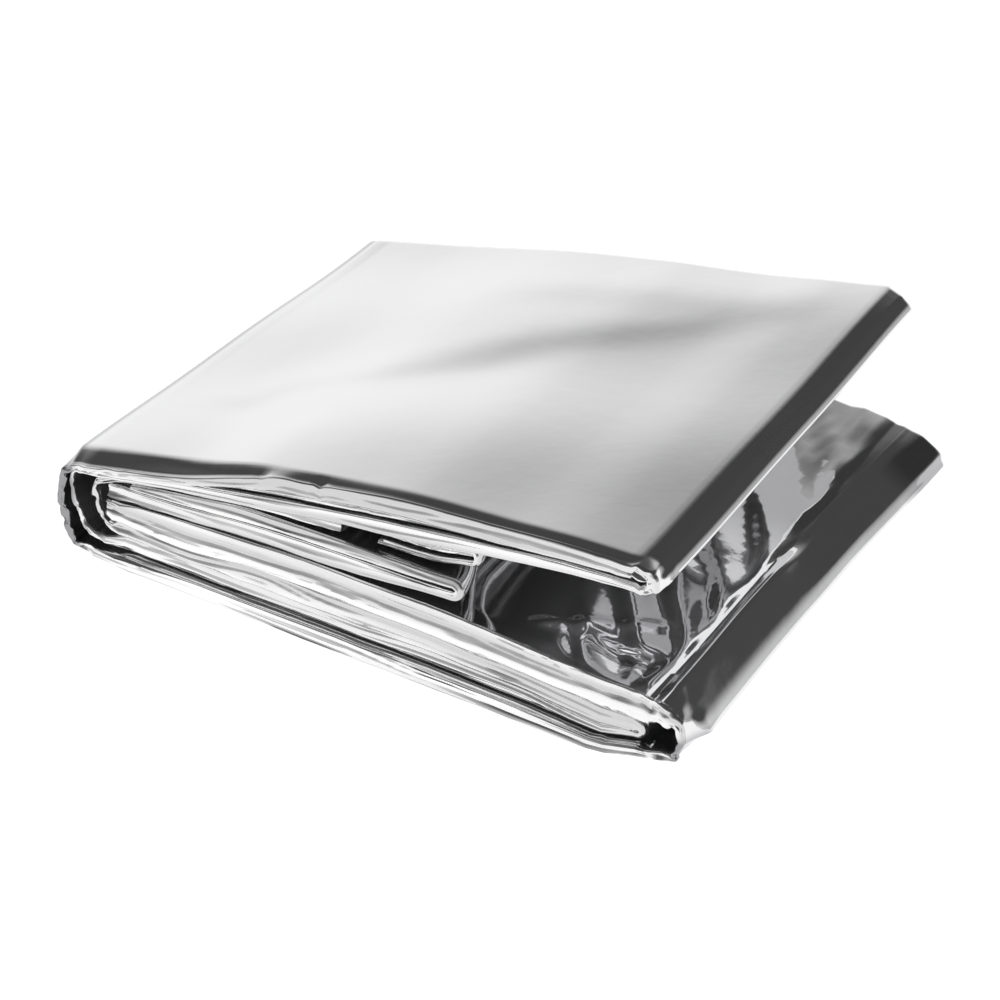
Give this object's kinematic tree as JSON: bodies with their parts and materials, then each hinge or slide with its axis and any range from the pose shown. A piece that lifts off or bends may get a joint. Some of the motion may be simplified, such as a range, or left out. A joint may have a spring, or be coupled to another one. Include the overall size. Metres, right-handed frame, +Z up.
{
  "type": "folded emergency foil blanket",
  "caption": "Metallised film emergency blanket folded into a thick flat packet that gapes open like a book, with a faceted closed spine and layered fold edges.",
  "frame": {"origin": "under the middle of the folded packet, on the surface it lies on", "axes": "+X from the closed spine to the open side, +Y along the spine, +Z up through the folded layers"},
  "size_m": [0.1332, 0.1, 0.0415],
  "materials": {
    "metallised_film": "mirror-bright vacuum-metallised polyester film, lightly creased"
  },
  "bodies": {
    "root": {"foil_blanket": "metallised_film"}
  },
  "joints": []
}
